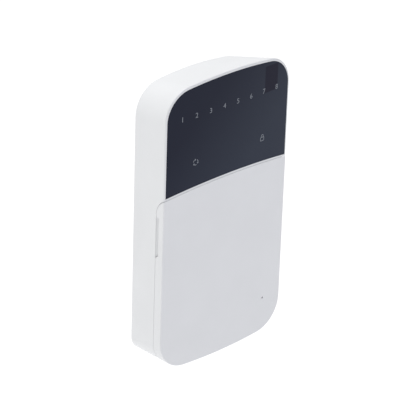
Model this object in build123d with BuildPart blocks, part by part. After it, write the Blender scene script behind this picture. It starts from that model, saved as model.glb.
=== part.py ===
from build123d import *
import os

# Wall-mounted alarm keypad with a smoked zone display and a drop-down key cover.
# Units are millimetres. X runs to the viewer's right, Y into the wall, Z up.
# The origin is the centre of the wall face, so a "depth" below is the distance
# from the wall towards the viewer, and stands at y = -depth.

# Case envelope
WIDTH = 81.0
HEIGHT = 150.5
EDGE_DEPTH = 26.0
FRONT_BOW = 1.2
DEPTH = EDGE_DEPTH + FRONT_BOW
TOP_CORNER_R = 15.5
BOTTOM_CORNER_R = 16.2
REAR_BOTTOM_CORNER_R = 9.1
TOP_CROWN = 3.3
REAR_TOP_CROWN = 3.8
BOTTOM_CROWN = 2.0
REAR_BOTTOM_CROWN = 0.1
SIDE_TAPER = 4.7
TOP_TAPER = 6.1
CASE_EDGE_R = 0.7
DOOR_EDGE_R = 0.4
WALL = 2.2

# Door and its seam
DOOR_WALL = 1.5
DOOR_GAP = 0.2
DECK_DEPTH = EDGE_DEPTH - 6.3
DOOR_REAR = DECK_DEPTH + DOOR_GAP
SEAM_TOP = 21.1
SEAM_RADIUS = 347.0
ROLL_MIDDLE = (3.7, 2.85)
ROLL_DROP = 8.5
NOTCH_TOP = 8.8
NOTCH_BOTTOM = -13.3
NOTCH_CUT = 2.2
NOTCH_TOP_SLANT = 0.6
NOTCH_BOTTOM_SLANT = 1.8
SOUND_X = 28.0
SOUND_Z = -55.9
SOUND_R = 0.55

# Door hinge along X
HINGE_DEPTH = DECK_DEPTH - 1.9
HINGE_Z = -HEIGHT / 2 + 2.4
KNUCKLE_X = 16.0
KNUCKLE_W = 4.0
KNUCKLE_R = 1.85
PIN_R = 1.0
PIN_LENGTH = 3.4
PIN_CLEARANCE = 0.05
SWING_R = 4.4
BOSS_R = 2.0
BOSS_REACH = 21.9
SWING_REACH = 33.0
RAIL_BACK = 11.5
RAIL_TOP = HINGE_Z + 3.6

# Walls on the deck inside the door's side flanges
RIM_FRONT = EDGE_DEPTH - 2.2
RIM_OUTER_INSET = 1.75
RIM_WALL = 1.1
RIM_TOP = 9.8
RIM_BOTTOM = -58.0

# Ramps on the deck behind the finger notches, which lead a finger nail under the flange
SCOOP_OUTER_INSET = 0.25
SCOOP_INNER_X = 37.0
SCOOP_LIP_X = 37.9
SCOOP_END_GAP = 0.25

# Display window
RIM = 1.0
TOP_RIM = 1.4
WINDOW_BOTTOM = 22.0
WINDOW_T = 2.1
WINDOW_GAP = 0.12
WINDOW_SET_BACK = 0.05
CHAMBER_FLOOR = EDGE_DEPTH - 4.2
VIEW_HALF_W = 34.0
VIEW_BOTTOM = 26.0
VIEW_TOP = 67.0
FILM_T = 0.3

# Keys: four columns by four rows
KEY_PITCH_X = 16.5
KEY_PITCH_Z = 15.0
KEY_ROW_TOP = 3.5
KEY_W = 13.0
KEY_H = 10.0
KEY_R = 2.4
KEY_TOP = EDGE_DEPTH - 3.8
KEY_GAP = 0.3
KEY_NAMES = [
    ["key_1", "key_2", "key_3", "key_arm_away"],
    ["key_4", "key_5", "key_6", "key_arm_stay"],
    ["key_7", "key_8", "key_9", "key_disarm"],
    ["key_star", "key_0", "key_hash", "key_ok"],
]

# Circuit board and what it carries
BOARD_FRONT = 13.3
BOARD_T = 1.6
BOARD_BACK = BOARD_FRONT - BOARD_T
BOARD_W = 66.0
BOARD_BOTTOM = -63.0
BOARD_TOP = 64.0
BOARD_SCREWS = [(-29.0, 17.0), (29.0, 17.0), (-16.0, -57.0), (16.0, -57.0)]
BOARD_POST_R = 3.0
BOARD_SCREW_R = 1.1
BOARD_SCREW_HEAD_R = 2.5
BOARD_SCREW_REACH = 3.4
MAT_T = 0.8
MAT_DOME_T = 1.4
ZONE_COUNT = 8
ZONE_PITCH = 8.8
ZONE_X = 0.5
ZONE_Z = 58.2
STATUS_SPOTS = [(-21.4, 34.0), (22.6, 34.0)]
SENSOR_X = 27.6
SENSOR_Z = 64.2

# Wall plate
PLATE_T = 2.0
PLATE_GAP = 0.3
WALL_SCREW_X = 50.0
WALL_SCREW_Z = 90.0
WALL_SCREW_R = 2.1
ENTRY_W = 24.0
ENTRY_H = 14.0
ENTRY_Z = 14.0
CASE_SCREW_DEPTH = 6.0
CASE_SCREW_R = 1.25
CASE_SCREW_HEAD_R = 2.8
CASE_SCREW_HEAD_T = 1.1
CASE_SCREW_REACH = 7.2
HOOK_X = 18.0
HOOK_RIB_Z = 66.45
HOOK_RIB_H = 2.5
HOOK_RIB_BACK = 2.4
HOOK_RIB_FRONT = 4.2
TAMPER_X = 20.0
TAMPER_Z = -24.0

zone_spots = [(ZONE_X + (i - (ZONE_COUNT - 1) / 2) * ZONE_PITCH, ZONE_Z) for i in range(ZONE_COUNT)]
key_spots = [
    ((col - 1.5) * KEY_PITCH_X, KEY_ROW_TOP - row * KEY_PITCH_Z) for row in range(4) for col in range(4)
]


def at_depth(depth):
    """Plane parallel to the wall: local x is X, local y is Z, extruding towards the viewer."""
    return Plane.XZ.offset(depth)


def save(piece, name):
    piece.part.label = name
    export_step(piece.part, f"parts/{name}.step")


def blend(front, rear, back):
    """A dimension part of the way from its front value to its rear value."""
    return front + (rear - front) * back


def case_section(depth, inset):
    """The case outline at one depth, with crowned ends, drawn in by an inset."""
    back = 1 - depth / EDGE_DEPTH
    half = WIDTH / 2 - SIDE_TAPER * back - inset
    top = HEIGHT / 2 - TOP_TAPER * back - inset
    shoulder = top - blend(TOP_CROWN, REAR_TOP_CROWN, back)
    bottom = inset - HEIGHT / 2
    heel = bottom + blend(BOTTOM_CROWN, REAR_BOTTOM_CROWN, back)
    heel_r = blend(BOTTOM_CORNER_R, REAR_BOTTOM_CORNER_R, back)
    with BuildSketch(at_depth(depth)) as section:
        with BuildLine():
            ThreePointArc((-half, shoulder), (0, top), (half, shoulder))
            Line((half, shoulder), (half, heel))
            ThreePointArc((half, heel), (0, bottom), (-half, heel))
            Line((-half, heel), (-half, shoulder))
        make_face()
        fillet(section.vertices().sort_by(Axis.Y)[2:], TOP_CORNER_R - inset)
        fillet(section.vertices().sort_by(Axis.Y)[:2], heel_r - inset)
    return section.sketch.face()


def case_block(back, front, inset):
    """Solid slice of the tapered case between two depths."""
    with BuildPart() as block:
        loft([case_section(back, inset), case_section(front, inset)], ruled=True)
    return block.part


def sweep_arch(profile, centre_z):
    """Carries a side view, drawn at X = 0, round an arch as wide as the case."""
    axis = Axis((0, 0, centre_z), (0, 1, 0))
    sweep_angle = 26.0
    with BuildPart() as block:
        add(profile)
        revolve(axis=axis, revolution_arc=sweep_angle)
    return block.part.rotate(axis, -sweep_angle / 2)


def under_roll(gap):
    """Everything under the arched seam, where the door's top rolls back to the deck."""
    middle_back, middle_drop = ROLL_MIDDLE
    top = SEAM_TOP - 1.1 * gap
    middle = (middle_back - 0.7 * gap - EDGE_DEPTH, SEAM_TOP - middle_drop - 0.7 * gap)
    rear = (-DECK_DEPTH - gap, SEAM_TOP - ROLL_DROP)
    low = -HEIGHT / 2 - 10
    with BuildSketch(Plane.YZ) as profile:
        with BuildLine():
            ThreePointArc((-EDGE_DEPTH, top), middle, rear)
            Polyline(rear, (rear[0], low), (-DEPTH - 2, low), (-DEPTH - 2, top), (-EDGE_DEPTH, top))
        make_face()
    return sweep_arch(profile.sketch, SEAM_TOP - SEAM_RADIUS)


def arch_band(back, front, bottom, top):
    """Block between two depths and two heights, bowed like the seam."""
    with BuildSketch(Plane.YZ) as profile:
        with Locations((-(back + front) / 2, (bottom + top) / 2)):
            Rectangle(front - back, top - bottom)
    return sweep_arch(profile.sketch, SEAM_TOP - SEAM_RADIUS)


def behind_bow(set_back):
    """Everything behind the bowed front face, or behind a copy of it set back."""
    half = WIDTH / 2
    reach = half + 2
    crown = set_back - DEPTH
    edge = crown + FRONT_BOW * (reach / half) ** 2
    with BuildPart() as block:
        with BuildSketch(Plane.XY.offset(-HEIGHT)):
            with BuildLine():
                ThreePointArc((-reach, edge), (0, crown), (reach, edge))
                Polyline((reach, edge), (reach, 5), (-reach, 5), (-reach, edge))
            make_face()
        extrude(amount=2 * HEIGHT)
    return block.part


def slab(x, z, width, height, back, front, radius=0.0):
    """Upright block, square or round cornered, between two depths."""
    with BuildPart() as block:
        with BuildSketch(at_depth(back)):
            with Locations((x, z)):
                if radius > 0:
                    RectangleRounded(width, height, radius)
                else:
                    Rectangle(width, height)
        extrude(amount=front - back)
    return block.part


def posts(spots, radius, back, front):
    """Round posts that stand out from the wall at the given X, Z spots."""
    with BuildPart() as block:
        with BuildSketch(at_depth(back)):
            with Locations(*spots):
                Circle(radius)
        extrude(amount=front - back)
    return block.part


def hinge_rod(x_from, x_to, radius):
    """Cylinder on the hinge axis."""
    with BuildPart() as rod:
        with BuildSketch(Plane.YZ.offset(x_from)):
            with Locations((-HINGE_DEPTH, HINGE_Z)):
                Circle(radius)
        extrude(amount=x_to - x_from)
    return rod.part


def swing_groove():
    """Half round trough under the hinge axis, which the door's bottom edge sweeps.

    A boss round the axis is left standing in the middle, to carry the hinge pins.
    """
    with BuildPart() as groove:
        with BuildSketch(Plane.YZ.offset(-SWING_REACH)):
            with Locations((-HINGE_DEPTH, HINGE_Z)):
                Circle(SWING_R)
            with Locations((-HINGE_DEPTH, HINGE_Z + SWING_R + 0.2)):
                Rectangle(2 * SWING_R, 2 * SWING_R, mode=Mode.SUBTRACT)
        extrude(amount=2 * SWING_REACH)
        add(hinge_rod(-BOSS_REACH, BOSS_REACH, BOSS_R), mode=Mode.SUBTRACT)
    return groove.part


def knuckle_slot(side):
    """Room in the hinge rail for one knuckle of the door to turn."""
    width = KNUCKLE_W + 2 * DOOR_GAP
    start = side * KNUCKLE_X - width / 2
    with BuildPart() as slot:
        add(hinge_rod(start, start + width, KNUCKLE_R + 0.4))
        with BuildSketch(Plane.YZ.offset(start)):
            with Locations((-HINGE_DEPTH - SWING_R / 2, HINGE_Z - SWING_R / 2 + 0.5)):
                Rectangle(SWING_R, SWING_R + 1.0)
        extrude(amount=width)
    return slot.part


def finger_notch():
    """Slanted-ended cut through both side flanges of the door, for a finger nail."""
    reach = 50.0
    deep = DOOR_REAR + NOTCH_CUT
    with BuildPart() as notch:
        with BuildSketch(Plane.YZ.offset(-reach)):
            with BuildLine():
                Polyline(
                    (1 - DOOR_REAR, NOTCH_TOP),
                    (-DOOR_REAR, NOTCH_TOP),
                    (-deep, NOTCH_TOP - NOTCH_TOP_SLANT),
                    (-deep, NOTCH_BOTTOM + NOTCH_BOTTOM_SLANT),
                    (-DOOR_REAR, NOTCH_BOTTOM),
                    (1 - DOOR_REAR, NOTCH_BOTTOM),
                    close=True,
                )
            make_face()
        extrude(amount=2 * reach)
    return notch.part


def finger_scoop(side):
    """Ramp that fills the back of one finger notch and slopes in towards the viewer."""
    deck_half = WIDTH / 2 - SIDE_TAPER * (1 - DECK_DEPTH / EDGE_DEPTH)
    outer = deck_half - SCOOP_OUTER_INSET
    back = DECK_DEPTH - 0.5
    front = DOOR_REAR + NOTCH_CUT - 0.3
    bottom = NOTCH_BOTTOM + SCOOP_END_GAP
    top = NOTCH_TOP - SCOOP_END_GAP
    with BuildPart() as scoop:
        with BuildSketch(Plane.XY.offset(bottom)):
            with BuildLine():
                Polyline(
                    (side * SCOOP_INNER_X, -back),
                    (side * outer, -back),
                    (side * outer, -DECK_DEPTH),
                    (side * SCOOP_LIP_X, -front),
                    (side * SCOOP_INNER_X, -front),
                    close=True,
                )
            make_face()
        extrude(amount=top - bottom)
        # Slanted ends, alongside the slanted ends of the notch
        with BuildSketch(Plane.YZ.offset(-WIDTH)):
            with BuildLine():
                Polyline(
                    (-back, top),
                    (-DECK_DEPTH, top),
                    (-front, top - NOTCH_TOP_SLANT),
                    (-front, bottom + NOTCH_BOTTOM_SLANT),
                    (-DECK_DEPTH, bottom),
                    (-back, bottom),
                    close=True,
                )
            make_face()
        extrude(amount=2 * WIDTH, mode=Mode.INTERSECT)
    return scoop.part


def case_skin(edge_r):
    """The whole case as one solid, with its front edge rounded."""
    with BuildPart() as skin:
        add(case_block(0, DEPTH, 0))
        add(behind_bow(0), mode=Mode.INTERSECT)
        front = skin.faces().sort_by(Axis.Y)[0]
        fillet(front.edges(), edge_r)
    return skin.part


os.makedirs("parts", exist_ok=True)

# ---------------------------------------------------------------- front housing
window_drop = Location((0, 0, RIM - TOP_RIM))
window_pocket = case_block(EDGE_DEPTH - WINDOW_T - 2, DEPTH + 1, RIM).moved(window_drop)
window_zone = arch_band(DEPTH - 8, DEPTH + 2, WINDOW_BOTTOM, HEIGHT)
main_cavity = case_block(-1, DECK_DEPTH - WALL, WALL)
upper_chamber = case_block(DECK_DEPTH - WALL - 1, CHAMBER_FLOOR, WALL + 0.4)
chamber_zone = arch_band(DECK_DEPTH - WALL - 2, CHAMBER_FLOOR + 1, SEAM_TOP - ROLL_DROP, HEIGHT)
rail_zone = slab(0, -80, 66, 2 * (RAIL_TOP + 80), RAIL_BACK, DECK_DEPTH)

with BuildPart() as hinge_rail:
    add(case_block(RAIL_BACK, DECK_DEPTH, 1.0))
    add(rail_zone, mode=Mode.INTERSECT)

# Low walls just inside the door's side flanges, which close the view past the finger notches
with BuildPart() as deck_rims:
    rim_back = DECK_DEPTH - 0.5
    rim_height = RIM_FRONT - rim_back
    to_viewer = (0, -1, 0)
    extrude(case_section(rim_back, RIM_OUTER_INSET), amount=rim_height, dir=to_viewer)
    rim_hollow = case_section(rim_back, RIM_OUTER_INSET + RIM_WALL)
    extrude(rim_hollow, amount=rim_height, dir=to_viewer, mode=Mode.SUBTRACT)
    add(slab(0, (RIM_TOP + RIM_BOTTOM) / 2, 90, RIM_TOP - RIM_BOTTOM, 10, DEPTH), mode=Mode.INTERSECT)

with BuildPart() as pocket_for_window:
    add(window_pocket)
    add(window_zone, mode=Mode.INTERSECT)
    add(behind_bow(WINDOW_T + 0.1), mode=Mode.SUBTRACT)

with BuildPart() as chamber:
    add(upper_chamber)
    add(chamber_zone, mode=Mode.INTERSECT)
    add(under_roll(-WALL), mode=Mode.SUBTRACT)

with BuildPart() as front_housing:
    add(case_skin(CASE_EDGE_R))
    add(main_cavity, mode=Mode.SUBTRACT)
    add(under_roll(0), mode=Mode.SUBTRACT)
    add(chamber.part, mode=Mode.SUBTRACT)
    add(pocket_for_window.part, mode=Mode.SUBTRACT)
    view_z = (VIEW_BOTTOM + VIEW_TOP) / 2
    view = slab(0, view_z, 2 * VIEW_HALF_W, VIEW_TOP - VIEW_BOTTOM, 18, DEPTH, 3.0)
    add(view, mode=Mode.SUBTRACT)
    add(hinge_rail.part)
    add(posts(BOARD_SCREWS, BOARD_POST_R, BOARD_FRONT, DECK_DEPTH - 0.1))
    add(deck_rims.part)
    for side in (-1, 1):
        add(finger_scoop(side))
        add(slab(side * HOOK_X, HOOK_RIB_Z, 7.0, HOOK_RIB_H, HOOK_RIB_BACK, HOOK_RIB_FRONT))
    # Openings in the deck
    for x, z in key_spots:
        hole_w, hole_h = KEY_W + 2 * KEY_GAP, KEY_H + 2 * KEY_GAP
        hole = slab(x, z, hole_w, hole_h, DECK_DEPTH - 5, DECK_DEPTH + 1, KEY_R + KEY_GAP)
        add(hole, mode=Mode.SUBTRACT)
    add(posts([(SOUND_X, SOUND_Z)], 0.9, DECK_DEPTH - 5, DECK_DEPTH + 1), mode=Mode.SUBTRACT)
    thread_end = BOARD_FRONT + BOARD_SCREW_REACH + 1.0
    add(posts(BOARD_SCREWS, BOARD_SCREW_R + 0.05, BOARD_FRONT - 1, thread_end), mode=Mode.SUBTRACT)
    # Hinge
    add(swing_groove(), mode=Mode.SUBTRACT)
    for side in (-1, 1):
        add(knuckle_slot(side), mode=Mode.SUBTRACT)
        start = side * KNUCKLE_X if side > 0 else -KNUCKLE_X - KNUCKLE_W / 2 - PIN_LENGTH - 0.4
        end = start + KNUCKLE_W / 2 + PIN_LENGTH + 0.4
        add(hinge_rod(start, end, PIN_R + PIN_CLEARANCE), mode=Mode.SUBTRACT)
    # Case screw through the bottom wall
    with BuildSketch(Plane.XY.offset(-HEIGHT / 2 - 1)):
        with Locations((0, -CASE_SCREW_DEPTH)):
            Circle(CASE_SCREW_R + 0.45)
    extrude(amount=5, mode=Mode.SUBTRACT)
    with BuildSketch(Plane.XY.offset(-HEIGHT / 2 - 1)):
        with Locations((0, -CASE_SCREW_DEPTH)):
            Circle(CASE_SCREW_HEAD_R + 0.3)
    extrude(amount=2.3, mode=Mode.SUBTRACT)
save(front_housing, "front_housing")

# ---------------------------------------------------------------- display window
with BuildPart() as display_window:
    lens = case_block(EDGE_DEPTH - WINDOW_T - 1, DEPTH, RIM + WINDOW_GAP)
    add(lens.moved(window_drop))
    add(arch_band(DEPTH - 8, DEPTH + 2, WINDOW_BOTTOM + WINDOW_GAP, HEIGHT), mode=Mode.INTERSECT)
    add(behind_bow(WINDOW_SET_BACK), mode=Mode.INTERSECT)
    add(behind_bow(WINDOW_T), mode=Mode.SUBTRACT)
save(display_window, "display_window")

with BuildPart() as legend_film:
    film_w = 2 * VIEW_HALF_W - 0.6
    film_h = VIEW_TOP - VIEW_BOTTOM - 0.6
    film_back = EDGE_DEPTH - WINDOW_T - 0.1 - FILM_T
    add(slab(0, (VIEW_BOTTOM + VIEW_TOP) / 2, film_w, film_h, film_back, film_back + FILM_T, 2.7))
save(legend_film, "legend_film")

# Light box: one open well behind each lit legend, standing on the circuit board
with BuildPart() as light_box:
    box_front = film_back - 0.05
    box_back = BOARD_FRONT + 0.05
    box_w = 2 * VIEW_HALF_W - 1
    box_h = VIEW_TOP - VIEW_BOTTOM - 2
    well_back = box_back - 1
    well_front = box_front + 1
    add(slab(0, (VIEW_BOTTOM + VIEW_TOP) / 2, box_w, box_h, box_back, box_front, 7.0))
    for x, z in zone_spots[1:-1]:
        add(slab(x, z, 6.6, 7.0, well_back, well_front, 1.0), mode=Mode.SUBTRACT)
    for (x, z), inward in ((zone_spots[0], 0.7), (zone_spots[-1], -0.7)):
        add(slab(x + inward, z, 4.6, 5.4, well_back, well_front, 1.0), mode=Mode.SUBTRACT)
    add(slab(SENSOR_X, SENSOR_Z - 0.5, 5.0, 2.6, well_back, well_front, 1.0), mode=Mode.SUBTRACT)
    for x, z in STATUS_SPOTS:
        add(slab(x, z, 9.0, 9.0, well_back, well_front, 1.5), mode=Mode.SUBTRACT)
    # Hollow moulding between the wells
    for x, width in ((-29.6, 5.0), (0.6, 32.4), (30.1, 4.0)):
        add(slab(x, 42.5, width, 9.0, well_back, box_front - 1.5, 1.0), mode=Mode.SUBTRACT)
save(light_box, "light_box")

# ---------------------------------------------------------------- flip door
door_front_inside = EDGE_DEPTH - DOOR_WALL
lip_bottom = SEAM_TOP - ROLL_DROP - 0.5

with BuildPart() as door_cavity:
    add(under_roll(DOOR_GAP + DOOR_WALL))
    add(arch_band(DECK_DEPTH - 2, DEPTH, -HEIGHT, lip_bottom))
    add(case_block(DECK_DEPTH - 2, DEPTH, DOOR_WALL), mode=Mode.INTERSECT)
    add(behind_bow(DOOR_WALL), mode=Mode.INTERSECT)

with BuildPart() as flip_door:
    add(case_skin(DOOR_EDGE_R))
    add(under_roll(DOOR_GAP), mode=Mode.INTERSECT)
    add(door_cavity.part, mode=Mode.SUBTRACT)
    add(finger_notch(), mode=Mode.SUBTRACT)
    add(posts([(SOUND_X, SOUND_Z)], SOUND_R, 20, DEPTH + 1), mode=Mode.SUBTRACT)
    for side in (-1, 1):
        start = side * KNUCKLE_X - KNUCKLE_W / 2
        add(hinge_rod(start, start + KNUCKLE_W, KNUCKLE_R))
        with BuildSketch(Plane.YZ.offset(start)):
            with Locations((-HINGE_DEPTH, HINGE_Z - KNUCKLE_R)):
                Rectangle(4.2, KNUCKLE_R + 0.5, align=(Align.MAX, Align.MIN))
        extrude(amount=KNUCKLE_W)
        pin_start = start + KNUCKLE_W if side > 0 else start - PIN_LENGTH
        add(hinge_rod(pin_start, pin_start + PIN_LENGTH, PIN_R))
save(flip_door, "flip_door")

with BuildPart() as door_buffers:
    add(posts([(-34.6, 8.0), (34.6, 8.0)], 1.7, DECK_DEPTH, door_front_inside - 0.3))
    fillet(door_buffers.faces().sort_by(Axis.Y)[0:2].edges(), 0.5)
save(door_buffers, "door_buffers")

# ---------------------------------------------------------------- keys
def key_cap(x, z):
    """Hard key cap: domed top, retaining flange behind the deck and a short stem."""
    flange_front = DECK_DEPTH - WALL - 0.2
    flange_back = flange_front - 0.8
    with BuildPart() as cap:
        add(slab(x, z, KEY_W, KEY_H, flange_back, KEY_TOP, KEY_R))
        fillet(cap.faces().sort_by(Axis.Y)[0].edges(), 0.7)
        add(slab(x, z, KEY_W + 1.2, KEY_H + 1.2, flange_back, flange_front, KEY_R + 0.4))
        add(posts([(x, z)], 2.6, flange_back - 0.9, flange_back + 0.1))
    return cap


for row in range(4):
    for col in range(4):
        x, z = key_spots[4 * row + col]
        cap = key_cap(x, z)
        save(cap, KEY_NAMES[row][col])

with BuildPart() as key_mat:
    mat_z = KEY_ROW_TOP - 1.5 * KEY_PITCH_Z
    add(slab(0, mat_z, 62.0, 58.0, BOARD_FRONT, BOARD_FRONT + MAT_T, 3.0))
    add(posts(key_spots, 4.6, BOARD_FRONT + MAT_T, BOARD_FRONT + MAT_T + 0.3))
    add(posts(key_spots, 3.6, BOARD_FRONT + MAT_T, BOARD_FRONT + MAT_DOME_T - 0.05))
save(key_mat, "key_mat")

# ---------------------------------------------------------------- circuit board
with BuildPart() as main_board:
    board_z = (BOARD_BOTTOM + BOARD_TOP) / 2
    add(slab(0, board_z, BOARD_W, BOARD_TOP - BOARD_BOTTOM, BOARD_BACK, BOARD_FRONT, 5.0))
    add(posts(BOARD_SCREWS, BOARD_SCREW_R + 0.5, BOARD_BACK - 1, BOARD_FRONT + 1), mode=Mode.SUBTRACT)
save(main_board, "main_board")


def chips(spots, width, height, thick, front_side):
    """Rectangular components on one face of the board."""
    back = BOARD_FRONT if front_side else BOARD_BACK - thick
    with BuildPart() as group:
        with BuildSketch(at_depth(back)):
            with Locations(*spots):
                Rectangle(width, height)
        extrude(amount=thick)
    return group


save(chips(zone_spots, 2.0, 1.4, 0.8, True), "zone_leds")
save(chips(STATUS_SPOTS, 3.0, 3.0, 0.9, True), "status_leds")
save(chips([(SENSOR_X, SENSOR_Z - 1.0)], 2.4, 1.2, 1.0, True), "light_sensor")
save(chips([(-12.0, -24.0)], 10.0, 10.0, 1.2, False), "microcontroller")
save(chips([(-24.0, 4.0)], 5.0, 4.0, 1.5, False), "bus_driver")
save(chips([(24.0, 8.0)], 6.5, 3.6, 1.6, False), "voltage_regulator")
save(chips([(-12.0, -36.0)], 3.2, 2.5, 0.8, False), "crystal")

with BuildPart() as capacitors:
    add(posts([(18.0, 32.0), (26.0, 32.0)], 3.15, BOARD_BACK - 7.0, BOARD_BACK))
save(capacitors, "capacitors")

with BuildPart() as buzzer:
    buzzer_front = BOARD_FRONT + 3.6
    add(slab(28.0, SOUND_Z, 9.0, 9.0, BOARD_FRONT, buzzer_front, 1.0))
    add(posts([(SOUND_X, SOUND_Z)], 0.8, buzzer_front - 1.2, buzzer_front + 1), mode=Mode.SUBTRACT)
save(buzzer, "buzzer")

# Four-way terminal block: clamp screws face the wall, wires enter from below
TERMINAL_X = -8.0
TERMINAL_Z = 30.0
TERMINAL_PITCH = 5.08
terminal_spots = [(TERMINAL_X + (i - 1.5) * TERMINAL_PITCH, TERMINAL_Z + 0.8) for i in range(4)]

with BuildPart() as terminal_block:
    block_w = 4 * TERMINAL_PITCH
    add(slab(TERMINAL_X, TERMINAL_Z, block_w, 8.0, BOARD_BACK - 8.0, BOARD_BACK))
    add(posts(terminal_spots, 1.75, BOARD_BACK - 9.0, BOARD_BACK - 4.0), mode=Mode.SUBTRACT)
    with BuildSketch(Plane.XY.offset(TERMINAL_Z - 5)):
        for x, z in terminal_spots:
            with Locations((x, 2.0 - BOARD_BACK)):
                Rectangle(3.4, 3.0)
    extrude(amount=4, mode=Mode.SUBTRACT)
save(terminal_block, "terminal_block")

with BuildPart() as terminal_screws:
    add(posts(terminal_spots, 1.6, BOARD_BACK - 7.0, BOARD_BACK - 4.0))
    for x, z in terminal_spots:
        slot = slab(x, z, 4.0, 0.5, BOARD_BACK - 7.5, BOARD_BACK - 6.2)
        add(slot, mode=Mode.SUBTRACT)
save(terminal_screws, "terminal_screws")

with BuildPart() as board_screws:
    add(posts(BOARD_SCREWS, BOARD_SCREW_HEAD_R, BOARD_BACK - 1.5, BOARD_BACK))
    add(posts(BOARD_SCREWS, BOARD_SCREW_R, BOARD_BACK, BOARD_FRONT + BOARD_SCREW_REACH))
    for x, z in BOARD_SCREWS:
        for width, height in ((3.0, 0.6), (0.6, 3.0)):
            cross = slab(x, z, width, height, BOARD_BACK - 2.0, BOARD_BACK - 0.7)
            add(cross, mode=Mode.SUBTRACT)
save(board_screws, "board_screws")

# ---------------------------------------------------------------- tamper contact
SWITCH_T = 3.4
BUTTON_R = 1.6
BUTTON_OUT = 0.9
switch_back = BOARD_BACK - SWITCH_T

with BuildPart() as tamper_switch:
    add(slab(TAMPER_X, TAMPER_Z, 6.0, 6.0, switch_back, BOARD_BACK, 0.5))
    button_well = posts([(TAMPER_X, TAMPER_Z)], BUTTON_R + 0.08, switch_back - 1, switch_back + 1.6)
    add(button_well, mode=Mode.SUBTRACT)
save(tamper_switch, "tamper_switch")

with BuildPart() as tamper_button:
    add(posts([(TAMPER_X, TAMPER_Z)], BUTTON_R, switch_back - BUTTON_OUT, switch_back + 1.0))
save(tamper_button, "tamper_button")

with BuildPart() as tamper_spring:
    wire_r = 0.22
    spring_front = switch_back - BUTTON_OUT - wire_r - 0.02
    spring_back = PLATE_T + wire_r + 0.02
    with BuildLine() as coil:
        Helix(
            pitch=(spring_front - spring_back) / 4,
            height=spring_front - spring_back,
            radius=1.3,
            center=(TAMPER_X, -spring_back, TAMPER_Z),
            direction=(0, -1, 0),
        )
    with BuildSketch(Plane(origin=coil.line @ 0, z_dir=coil.line % 0)):
        Circle(wire_r)
    sweep(path=coil.line, is_frenet=True)
save(tamper_spring, "tamper_spring")

# ---------------------------------------------------------------- wall plate
with BuildPart() as wall_plate:
    add(case_block(0, PLATE_T, WALL + PLATE_GAP))
    # Stiffening ribs and the two top hooks
    for side in (-1, 1):
        add(slab(side * 31.2, 0, 1.2, 100.0, PLATE_T - 0.5, PLATE_T + 2.0))
        add(slab(side * HOOK_X, 62.5, 6.0, 4.6, PLATE_T - 0.5, 6.0))
        add(slab(side * HOOK_X, 64.9, 6.0, 3.6, HOOK_RIB_FRONT + 0.4, 6.0))
    # Boss for the case screw
    add(slab(0, -68.3, 9.0, 5.0, PLATE_T - 0.5, 9.6))
    with BuildSketch(Plane.XY.offset(-72)):
        with Locations((0, -CASE_SCREW_DEPTH)):
            Circle(CASE_SCREW_R + 0.1)
    extrude(amount=8, mode=Mode.SUBTRACT)
    # Cable entry and wall screw holes
    add(slab(0, ENTRY_Z, ENTRY_W, ENTRY_H, -1, PLATE_T + 1, 2.5), mode=Mode.SUBTRACT)
    with BuildSketch(at_depth(-1)):
        with GridLocations(WALL_SCREW_X, WALL_SCREW_Z, 2, 2):
            Circle(WALL_SCREW_R)
    extrude(amount=PLATE_T + 2, mode=Mode.SUBTRACT)
save(wall_plate, "wall_plate")

with BuildPart() as case_screw:
    head_bottom = -HEIGHT / 2 + 0.1
    with BuildSketch(Plane.XY.offset(head_bottom)):
        with Locations((0, -CASE_SCREW_DEPTH)):
            Circle(CASE_SCREW_HEAD_R)
    extrude(amount=CASE_SCREW_HEAD_T)
    with BuildSketch(Plane.XY.offset(head_bottom + CASE_SCREW_HEAD_T)):
        with Locations((0, -CASE_SCREW_DEPTH)):
            Circle(CASE_SCREW_R)
    extrude(amount=CASE_SCREW_REACH)
    with BuildSketch(Plane.XY.offset(head_bottom)):
        with Locations((0, -CASE_SCREW_DEPTH)):
            Rectangle(3.2, 0.6)
            Rectangle(0.6, 3.2)
    extrude(amount=0.7, mode=Mode.SUBTRACT)
save(case_screw, "case_screw")
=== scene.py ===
import math

import bpy
from mathutils import Matrix, Vector


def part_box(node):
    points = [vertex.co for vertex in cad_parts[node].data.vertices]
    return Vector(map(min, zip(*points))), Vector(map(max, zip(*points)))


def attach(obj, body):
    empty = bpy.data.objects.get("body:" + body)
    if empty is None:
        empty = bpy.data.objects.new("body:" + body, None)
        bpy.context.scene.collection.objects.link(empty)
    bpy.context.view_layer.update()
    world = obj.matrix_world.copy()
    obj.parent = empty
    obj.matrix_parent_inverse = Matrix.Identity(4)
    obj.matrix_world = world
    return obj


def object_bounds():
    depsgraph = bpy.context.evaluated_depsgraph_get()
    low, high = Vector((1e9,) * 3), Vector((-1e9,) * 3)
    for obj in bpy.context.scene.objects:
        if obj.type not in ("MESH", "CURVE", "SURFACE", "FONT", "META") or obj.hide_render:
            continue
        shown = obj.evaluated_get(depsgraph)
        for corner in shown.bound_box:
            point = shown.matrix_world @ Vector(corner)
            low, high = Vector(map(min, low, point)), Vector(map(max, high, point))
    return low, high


# Looks for the alarm keypad panel. Metres; X to the viewer's right, Y into the wall, Z up.
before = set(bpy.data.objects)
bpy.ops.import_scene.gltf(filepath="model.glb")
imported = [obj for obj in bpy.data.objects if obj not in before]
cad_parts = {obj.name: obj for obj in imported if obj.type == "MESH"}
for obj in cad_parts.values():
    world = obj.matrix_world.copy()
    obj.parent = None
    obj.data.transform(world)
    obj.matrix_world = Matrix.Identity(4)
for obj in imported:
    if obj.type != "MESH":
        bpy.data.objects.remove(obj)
cad_low, cad_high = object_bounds()
MM = 0.001

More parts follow.
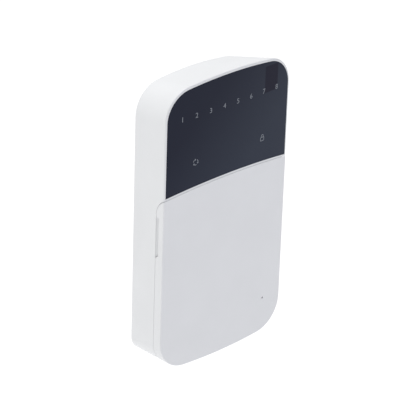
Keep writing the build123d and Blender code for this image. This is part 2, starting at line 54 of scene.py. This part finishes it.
# Camera: from the front left and above, with a long lens, aimed near the middle of the front
VIEW_AZIMUTH = math.radians(-44.12)
VIEW_ELEVATION = math.radians(26.16)
VIEW_ROLL = math.radians(1.87)
VIEW_DISTANCE = 1.1077
VIEW_LENS = 206.7
VIEW_SENSOR = 36.0
AIM_RIGHT = -0.011999
AIM_UP = 0.00573
AIM_HEIGHT = 0.00075
AIM_DEPTH = 0.026

# Stage and light: the floor lies low enough for the open door to clear it
FLOOR_SIZE = 6.0
FLOOR_DROP = 0.045
FLOOR_COLOUR = (0.4, 0.4, 0.4)
FLOOR_GLOW = 0.7
SKY_STRENGTH = 0.55
WHITE = (1.0, 1.0, 1.0)
COOL = (0.2, 0.25, 1.0)

# The front face is bowed: it stands proud in the middle and falls back at the sides
FRONT_BOW = 1.2 * MM
HALF_WIDTH = 40.5 * MM

# Legends on the window
ZONE_COUNT = 8
ZONE_PITCH = 8.8 * MM
ZONE_X = 0.5 * MM
ZONE_Z = 58.2 * MM
ZONE_HEIGHT = 2.55 * MM
RING_AT = (-21.4 * MM, 34.0 * MM)
LOCK_AT = (22.6 * MM, 34.0 * MM)
LOCK_HEIGHT = 3.9 * MM

# The status ring: arcs that end in arrowheads, in degrees. A tip spreads by a part of the radius
RING_RADIUS = 1.42 * MM
RING_STROKE = 0.36 * MM
RING_PARTS = 3
RING_START = 100
RING_SWEEP = 72
TIP_REACH = 22
TIP_OVERLAP = 4
TIP_SPREAD = 0.45

# Legends on the keys
KEY_LETTER_HEIGHT = 4.2 * MM
KEY_LOCK_HEIGHT = 5.0 * MM
HOUSE_LOCK_HEIGHT = 2.6 * MM
HOUSE_LOCK_DROP = 0.5 * MM
HOUSE_STROKE = 0.4 * MM
TICK_STROKE = 0.55 * MM

# A print is a thin sheet whose middle stands this far off its surface
PRINT_LIFT = 0.02 * MM
PRINT_THICKNESS = 0.9 * PRINT_LIFT

# Font size for a digit of unit height, and the smallest cosine that widens a stroke at a bend
FONT_SIZE_PER_HEIGHT = 1.4
SHARPEST_BEND = 0.5

# Tinted lens, lightened along a slant by a painted reflection, and its patch before the light
# sensor
LENS_DARK = (0.0024, 0.0056, 0.022)
# The lighter lens colour is a painted reflection, reached low on the right
LENS_PAINTED_REFLECTION = (0.0165, 0.024, 0.0455)
LENS_GLOSS = 0.2
LENS_REFLECTION_SLANT = (1.0, 0.0, -1.1)
LENS_REFLECTION_FROM = -82 * MM
LENS_REFLECTION_FULL_AT = -16 * MM
PATCH_COLOUR = (0.0065, 0.0065, 0.0215)
PATCH_GLOSS = 0.14
PATCH_LEFT = 23.0 * MM
PATCH_RIGHT = 31.8 * MM
PATCH_BOTTOM = 57.0 * MM
PATCH_TOP = 70.6 * MM

# Values between which a noise field is spread out, for gloss and for colour
GLOSS_FROM, GLOSS_TO = 0.3, 0.7
TINT_FROM, TINT_TO = 0.35, 0.65


# ------------------------------------------------------------------ materials
def new_material(name, colour, roughness):
    """A principled material with its constant colour and roughness on the shader."""
    material = bpy.data.materials.new(name)
    material.use_nodes = True
    shader = material.node_tree.nodes["Principled BSDF"]
    shader.inputs["Base Color"].default_value = (*colour, 1.0)
    shader.inputs["Roughness"].default_value = roughness
    material.diffuse_color = (*colour, 1.0)
    return material, shader


def noise(material, scale, detail=2.0):
    """Noise in object space: scale is features per metre."""
    nodes, links = material.node_tree.nodes, material.node_tree.links
    where = nodes.new("ShaderNodeTexCoord")
    field = nodes.new("ShaderNodeTexNoise")
    field.inputs["Scale"].default_value = scale
    field.inputs["Detail"].default_value = detail
    links.new(where.outputs["Object"], field.inputs["Vector"])
    return field.outputs["Fac"]


def spread(material, value, low, high, socket):
    """Maps a noise value or a mask to low..high and feeds it to a shader input."""
    nodes, links = material.node_tree.nodes, material.node_tree.links
    ranged = nodes.new("ShaderNodeMapRange")
    ranged.inputs["From Min"].default_value = GLOSS_FROM
    ranged.inputs["From Max"].default_value = GLOSS_TO
    ranged.inputs["To Min"].default_value = low
    ranged.inputs["To Max"].default_value = high
    links.new(value, ranged.inputs["Value"])
    links.new(ranged.outputs["Result"], socket)


def uneven_gloss(material, shader, scale, low, high):
    """Lets the roughness drift between two values."""
    spread(material, noise(material, scale), low, high, shader.inputs["Roughness"])


def tint(material, value, first, second, socket):
    """Blends two colours by a noise value."""
    nodes, links = material.node_tree.nodes, material.node_tree.links
    ramp = nodes.new("ShaderNodeValToRGB")
    ramp.color_ramp.elements[0].position = TINT_FROM
    ramp.color_ramp.elements[0].color = (*first, 1.0)
    ramp.color_ramp.elements[1].position = TINT_TO
    ramp.color_ramp.elements[1].color = (*second, 1.0)
    links.new(value, ramp.inputs["Fac"])
    links.new(ramp.outputs["Color"], socket)


def bump(material, shader, value, depth):
    """Surface relief of the given depth in metres."""
    nodes, links = material.node_tree.nodes, material.node_tree.links
    relief = nodes.new("ShaderNodeBump")
    relief.inputs["Strength"].default_value = 1.0
    relief.inputs["Distance"].default_value = depth
    links.new(value, relief.inputs["Height"])
    links.new(relief.outputs["Normal"], shader.inputs["Normal"])


def moulded(name, colour, roughness, grain=2600, depth=0.00001, shift=0.02):
    """Injection-moulded plastic: fine spark texture, slight colour and gloss drift."""
    material, shader = new_material(name, colour, roughness)
    bump(material, shader, noise(material, grain, 3.0), depth)
    uneven_gloss(material, shader, 70, roughness - 0.05, roughness + 0.05)
    darker = tuple(c * (1 - shift) for c in colour)
    tint(material, noise(material, 45), darker, colour, shader.inputs["Base Color"])
    return material


def metal(name, colour, roughness):
    """Plated metal with faint grain and an uneven gloss."""
    material, shader = new_material(name, colour, roughness)
    shader.inputs["Metallic"].default_value = 1.0
    bump(material, shader, noise(material, 1500, 4.0), 0.000004)
    uneven_gloss(material, shader, 300, roughness - 0.08, roughness + 0.1)
    return material


def compare(material, value, operation, limit):
    """Mask that is 1 where a value is beyond a limit."""
    test = material.node_tree.nodes.new("ShaderNodeMath")
    test.operation = operation
    test.inputs[1].default_value = limit
    material.node_tree.links.new(value, test.inputs[0])
    return test.outputs[0]


def both(material, first, second):
    """Product of two masks."""
    product = material.node_tree.nodes.new("ShaderNodeMath")
    product.operation = "MULTIPLY"
    material.node_tree.links.new(first, product.inputs[0])
    material.node_tree.links.new(second, product.inputs[1])
    return product.outputs[0]


def mixed(material, mask, first, second):
    """Colour that goes from the first to the second by a mask, each a value or a socket."""
    mix = material.node_tree.nodes.new("ShaderNodeMix")
    mix.data_type = "RGBA"
    links = material.node_tree.links
    links.new(mask, mix.inputs["Factor"])
    for socket, colour in ((mix.inputs[6], first), (mix.inputs[7], second)):
        if isinstance(colour, tuple):
            socket.default_value = (*colour, 1.0)
        else:
            links.new(colour, socket)
    return mix.outputs[2]


def smoked(name, roughness):
    """Dark tinted lens; painted reflection lighter low on the right; patch over the light sensor.
    """
    material, shader = new_material(name, LENS_DARK, roughness)
    nodes, links = material.node_tree.nodes, material.node_tree.links
    shader.inputs["IOR"].default_value = 1.46
    bump(material, shader, noise(material, 5200), 0.0000015)
    uneven_gloss(material, shader, 60, roughness - 0.03, roughness + 0.03)
    where = nodes.new("ShaderNodeTexCoord")
    axes = nodes.new("ShaderNodeSeparateXYZ")
    links.new(where.outputs["Object"], axes.inputs["Vector"])
    # Painted reflection: the lens colour lightens along a slant towards the lower right
    slant = nodes.new("ShaderNodeVectorMath")
    slant.operation = "DOT_PRODUCT"
    slant.inputs[1].default_value = LENS_REFLECTION_SLANT
    links.new(where.outputs["Object"], slant.inputs[0])
    reflection_share = nodes.new("ShaderNodeMapRange")
    reflection_share.inputs["From Min"].default_value = LENS_REFLECTION_FROM
    reflection_share.inputs["From Max"].default_value = LENS_REFLECTION_FULL_AT
    links.new(slant.outputs["Value"], reflection_share.inputs["Value"])
    drift = mixed(material, reflection_share.outputs["Result"], LENS_DARK, LENS_PAINTED_REFLECTION)
    columns = both(
        material,
        compare(material, axes.outputs["X"], "GREATER_THAN", PATCH_LEFT),
        compare(material, axes.outputs["X"], "LESS_THAN", PATCH_RIGHT),
    )
    rows = both(
        material,
        compare(material, axes.outputs["Z"], "GREATER_THAN", PATCH_BOTTOM),
        compare(material, axes.outputs["Z"], "LESS_THAN", PATCH_TOP),
    )
    patch = both(material, columns, rows)
    colour = mixed(material, patch, drift, PATCH_COLOUR)
    spread(material, patch, LENS_GLOSS, PATCH_GLOSS, shader.inputs["Specular IOR Level"])
    links.new(colour, shader.inputs["Base Color"])
    return material


def glowing(name, colour, roughness, transmission):
    """Cloudy resin that lets light through."""
    material, shader = new_material(name, colour, roughness)
    shader.inputs["Transmission Weight"].default_value = transmission
    bump(material, shader, noise(material, 1800), 0.000004)
    uneven_gloss(material, shader, 200, roughness - 0.04, roughness + 0.06)
    return material


shell = moulded("shell_plastic", (0.80, 0.81, 0.825), 0.5)
plate_plastic = moulded("plate_plastic", (0.74, 0.75, 0.76), 0.58, grain=1800, depth=0.000014)
box_plastic = moulded("light_box_plastic", (0.82, 0.82, 0.8), 0.6, grain=1600)
key_plastic = moulded("key_plastic", (0.72, 0.735, 0.75), 0.42, grain=3200, depth=0.000007)
window_plastic = smoked("window_plastic", 0.34)
film_print = moulded("film_print", (0.03, 0.03, 0.035), 0.4, grain=4000, depth=0.000002)
silicone = moulded("silicone", (0.66, 0.67, 0.66), 0.62, grain=900, depth=0.00001, shift=0.05)
rubber = moulded("rubber", (0.14, 0.145, 0.15), 0.8, grain=2200, depth=0.00002, shift=0.2)
black_case = moulded("black_case", (0.018, 0.018, 0.02), 0.5, grain=3500, depth=0.000008, shift=0.3)
green_nylon = moulded("green_nylon", (0.03, 0.19, 0.08), 0.5, grain=2000, shift=0.1)
board_mask = moulded("board_mask", (0.012, 0.11, 0.04), 0.3, grain=700, depth=0.000012, shift=0.35)
steel = metal("zinc_steel", (0.62, 0.61, 0.58), 0.34)
can_metal = metal("can_metal", (0.7, 0.7, 0.72), 0.25)
led_resin = glowing("led_resin", (0.92, 0.9, 0.8), 0.18, 0.5)
window_ink = moulded("window_ink", (0.22, 0.24, 0.275), 0.5, grain=5000, depth=0.000003, shift=0.12)
key_ink = moulded("key_ink", (0.09, 0.095, 0.105), 0.5, grain=5000, depth=0.000003, shift=0.1)

KEY_NODES = [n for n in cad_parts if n.startswith("key_") and n != "key_mat"]
NODE_MATERIALS = {
    "front_housing": shell,
    "flip_door": shell,
    "wall_plate": plate_plastic,
    "light_box": box_plastic,
    "display_window": window_plastic,
    "legend_film": film_print,
    "door_buffers": rubber,
    "key_mat": silicone,
    "main_board": board_mask,
    "zone_leds": led_resin,
    "status_leds": led_resin,
    "light_sensor": black_case,
    "microcontroller": black_case,
    "bus_driver": black_case,
    "voltage_regulator": black_case,
    "crystal": can_metal,
    "capacitors": can_metal,
    "buzzer": black_case,
    "terminal_block": green_nylon,
    "terminal_screws": steel,
    "board_screws": steel,
    "case_screw": steel,
    "tamper_switch": black_case,
    "tamper_button": black_case,
    "tamper_spring": steel,
}
NODE_MATERIALS.update({name: key_plastic for name in KEY_NODES})

for name, material in NODE_MATERIALS.items():
    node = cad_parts[name]
    node.data.materials.clear()
    node.data.materials.append(material)


# ------------------------------------------------------------------ printed legends
window_low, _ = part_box("display_window")
key_low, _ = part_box("key_5")


def lens_face(x):
    """Y of the bowed front of the display window."""
    return window_low.y + FRONT_BOW * (x / HALF_WIDTH) ** 2


def key_face(x):
    """Y of the key tops, which are flat and all at one depth."""
    return key_low.y


def make_print(name, mesh, surface, body, material):
    """Lays a flat mesh, drawn in X and Z, on a surface that faces the viewer, as a thin print."""
    for vertex in mesh.vertices:
        vertex.co.y = surface(vertex.co.x) - PRINT_LIFT
    mesh.materials.clear()
    mesh.materials.append(material)
    piece = bpy.data.objects.new(name, mesh)
    bpy.context.scene.collection.objects.link(piece)
    thick = piece.modifiers.new("thick", "SOLIDIFY")
    thick.thickness = PRINT_THICKNESS
    thick.offset = 0.0
    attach(piece, body)


def printed(name, vertices, faces, surface, body, material):
    """A print from vertices given as (x, z) in metres."""
    mesh = bpy.data.meshes.new(name)
    mesh.from_pydata([(x, 0, z) for x, z in vertices], [], faces)
    make_print(name, mesh, surface, body, material)


def strokes(name, paths, width, surface, body, material):
    """Line drawing: each path is a list of (x, z) points joined by a band of even width."""
    vertices, faces = [], []
    for path in paths:
        start = len(vertices)
        for i, point in enumerate(path):
            here = Vector(point)
            before = Vector(path[max(i - 1, 0)])
            after = Vector(path[min(i + 1, len(path) - 1)])
            along = (after - before).normalized()
            side = Vector((-along.y, along.x))
            inward, outward = (here - before), (after - here)
            bend = 1.0
            if 0 < i < len(path) - 1:
                bend = max(math.cos(inward.angle(outward, 0.0) / 2), SHARPEST_BEND)
            vertices.append(tuple(here + side * width / 2 / bend))
            vertices.append(tuple(here - side * width / 2 / bend))
        for i in range(len(path) - 1):
            a = start + 2 * i
            faces.append((a, a + 1, a + 3, a + 2))
    printed(name, vertices, faces, surface, body, material)


def on_circle(centre, radius, degrees):
    """Point on a circle, at an angle anticlockwise from the right."""
    angle = math.radians(degrees)
    return (centre[0] + radius * math.cos(angle), centre[1] + radius * math.sin(angle))


def arc(centre, radius, start, end, steps=14):
    """Points on an arc, angles in degrees anticlockwise from the right."""
    return [on_circle(centre, radius, start + (end - start) * i / steps) for i in range(steps + 1)]


def character(name, text, centre, height, surface, body, material):
    """One character of plain lettering, centred at (x, z). Digits are drawn to the height."""
    curve = bpy.data.curves.new(name, "FONT")
    curve.body = text
    curve.size = height * FONT_SIZE_PER_HEIGHT
    curve.resolution_u = 6
    source = bpy.data.objects.new(name + "_source", curve)
    bpy.context.scene.collection.objects.link(source)
    mesh = bpy.data.meshes.new_from_object(source)
    bpy.data.objects.remove(source)
    xs = [v.co.x for v in mesh.vertices]
    ys = [v.co.y for v in mesh.vertices]
    scale = height / (max(ys) - min(ys)) if text not in "*#" else 1.0
    middle = Vector(((max(xs) + min(xs)) / 2, (max(ys) + min(ys)) / 2))
    for vertex in mesh.vertices:
        x = (vertex.co.x - middle.x) * scale + centre[0]
        z = (vertex.co.y - middle.y) * scale + centre[1]
        vertex.co = (x, 0, z)
    mesh.name = name
    make_print(name, mesh, surface, body, material)


for i in range(ZONE_COUNT):
    at = (ZONE_X + (i - (ZONE_COUNT - 1) / 2) * ZONE_PITCH, ZONE_Z)
    name = f"zone_legend_{i + 1}"
    character(name, str(i + 1), at, ZONE_HEIGHT, lens_face, "case", window_ink)


def ring_icon():
    """Curved arrows chasing each other round a ring."""
    starts = [RING_START + 360 // RING_PARTS * k for k in range(RING_PARTS)]
    paths = [arc(RING_AT, RING_RADIUS, start, start + RING_SWEEP) for start in starts]
    strokes("status_ring", paths, RING_STROKE, lens_face, "case", window_ink)
    for k, start in enumerate(starts):
        vertices = [
            on_circle(RING_AT, RING_RADIUS, start - TIP_REACH),
            on_circle(RING_AT, RING_RADIUS * (1 + TIP_SPREAD), start + TIP_OVERLAP),
            on_circle(RING_AT, RING_RADIUS * (1 - TIP_SPREAD), start + TIP_OVERLAP),
        ]
        name = f"status_ring_tip_{k + 1}"
        printed(name, vertices, [(0, 1, 2)], lens_face, "case", window_ink)


def padlock(name, at, size, surface, body, material, open_shackle=False):
    """Outline padlock about as tall as the given size, its parts in proportion to it."""
    width = size * 0.09
    half, tall = size * 0.29, size * 0.48
    x, z = at[0], at[1] - size * 0.5 + width / 2
    corner = size * 0.08
    box = []
    for cx, cz, turn in ((half, tall, 0), (-half, tall, 90), (-half, 0, 180), (half, 0, 270)):
        inner = (x + cx - math.copysign(corner, cx), z + (cz - corner if cz else corner))
        box += arc(inner, corner, turn, turn + 90, 4)
    box.append(box[0])
    lift = size * 0.1 if open_shackle else 0.0
    reach, leg = size * 0.17, size * 0.16
    shackle = arc((x, z + tall + leg + lift), reach, 180, 0, 12)
    left_leg = [(x - reach, z + tall + lift)]
    right_leg = [(x + reach, z + tall)]
    strokes(name, [box, left_leg + shackle + right_leg], width, surface, body, material)


ring_icon()
padlock("status_padlock", LOCK_AT, LOCK_HEIGHT, lens_face, "case", window_ink)


def key_centre(name):
    """Middle of a key, as (x, z)."""
    low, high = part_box(name)
    return ((low.x + high.x) / 2, (low.z + high.z) / 2)


KEY_LETTERS = {f"key_{i}": str(i) for i in range(10)}
KEY_LETTERS.update({"key_star": "*", "key_hash": "#"})

for name, text in KEY_LETTERS.items():
    at = key_centre(name)
    character(name + "_legend", text, at, KEY_LETTER_HEIGHT, key_face, name, key_ink)


def function_key_icons():
    """Generic pictures: closed lock, lock in a house, open lock and a tick."""
    at = key_centre("key_arm_away")
    padlock("key_arm_away_legend", at, KEY_LOCK_HEIGHT, key_face, "key_arm_away", key_ink)
    x, z = key_centre("key_arm_stay")
    house = [(-2.6, -2.3), (-2.6, 0.6), (0, 2.8), (2.6, 0.6), (2.6, -2.3), (-2.6, -2.3), (-2.6, 0)]
    path = [(x + a * MM, z + b * MM) for a, b in house]
    strokes("key_arm_stay_house", [path], HOUSE_STROKE, key_face, "key_arm_stay", key_ink)
    at = (x, z - HOUSE_LOCK_DROP)
    padlock("key_arm_stay_legend", at, HOUSE_LOCK_HEIGHT, key_face, "key_arm_stay", key_ink)
    at = key_centre("key_disarm")
    padlock("key_disarm_legend", at, KEY_LOCK_HEIGHT, key_face, "key_disarm", key_ink, True)
    x, z = key_centre("key_ok")
    tick = [(x - 2.2 * MM, z), (x - 0.6 * MM, z - 1.7 * MM), (x + 2.4 * MM, z + 1.9 * MM)]
    strokes("key_ok_legend", [tick], TICK_STROKE, key_face, "key_ok", key_ink)


function_key_icons()


# ------------------------------------------------------------------ stage, light, camera
def floor():
    """Plain pale floor below the panel."""
    location = (0, 0, cad_low.z - FLOOR_DROP)
    bpy.ops.mesh.primitive_plane_add(size=FLOOR_SIZE, location=location)
    plane = bpy.context.object
    plane.name = "floor"
    material, shader = new_material("floor_paper", FLOOR_COLOUR, 0.9)
    shader.inputs["Specular IOR Level"].default_value = 0.1
    shader.inputs["Emission Color"].default_value = (*WHITE, 1.0)
    shader.inputs["Emission Strength"].default_value = FLOOR_GLOW
    plane.data.materials.append(material)


def softbox(name, place, side, power, colour=WHITE):
    """Square area light aimed at the origin: its side in metres and its power in watts."""
    light = bpy.data.lights.new(name, "AREA")
    light.shape = "SQUARE"
    light.size = side
    light.energy = power
    light.color = colour
    lamp = bpy.data.objects.new(name, light)
    bpy.context.scene.collection.objects.link(lamp)
    lamp.location = place
    lamp.rotation_euler = (-Vector(place)).to_track_quat("-Z", "Y").to_euler()


def studio():
    """White surroundings, a large light overhead, a weak one at the left, a cool one in front."""
    world = bpy.data.worlds.new("studio")
    bpy.context.scene.world = world
    world.use_nodes = True
    sky = world.node_tree.nodes["Background"]
    sky.inputs["Color"].default_value = (*WHITE, 1.0)
    sky.inputs["Strength"].default_value = SKY_STRENGTH
    softbox("top_box", place=(-0.1, 0.4, 1.3), side=1.0, power=11.5)
    softbox("left_box", place=(-1.2, 0.1, 0.35), side=1.0, power=0.95)
    softbox("cool_fill", place=(0.2, -1.2, 0.4), side=0.8, power=0.65, colour=COOL)
    bpy.context.scene.view_settings.view_transform = "Standard"


def camera():
    """Main view: from the panel's left, looking down on it, slightly rolled."""
    right = Vector((math.cos(VIEW_AZIMUTH), math.sin(VIEW_AZIMUTH), 0.0))
    level = Vector((right.y, -right.x, 0.0))
    back = level * math.cos(VIEW_ELEVATION)
    back.z = math.sin(VIEW_ELEVATION)
    up = back.cross(right)
    roll = Matrix.Rotation(VIEW_ROLL, 3, back)
    right, up = roll @ right, roll @ up
    data = bpy.data.cameras.new("camera")
    data.lens = VIEW_LENS
    data.sensor_width = VIEW_SENSOR
    data.clip_start, data.clip_end = 0.05, 20.0
    cam = bpy.data.objects.new("camera", data)
    bpy.context.scene.collection.objects.link(cam)
    aim = Vector((0, -AIM_DEPTH, AIM_HEIGHT))
    place = aim + right * AIM_RIGHT + up * AIM_UP + back * VIEW_DISTANCE
    turn = Matrix((right, up, back)).transposed().to_4x4()
    cam.matrix_world = Matrix.Translation(place) @ turn
    bpy.context.scene.camera = cam


floor()
studio()
camera()
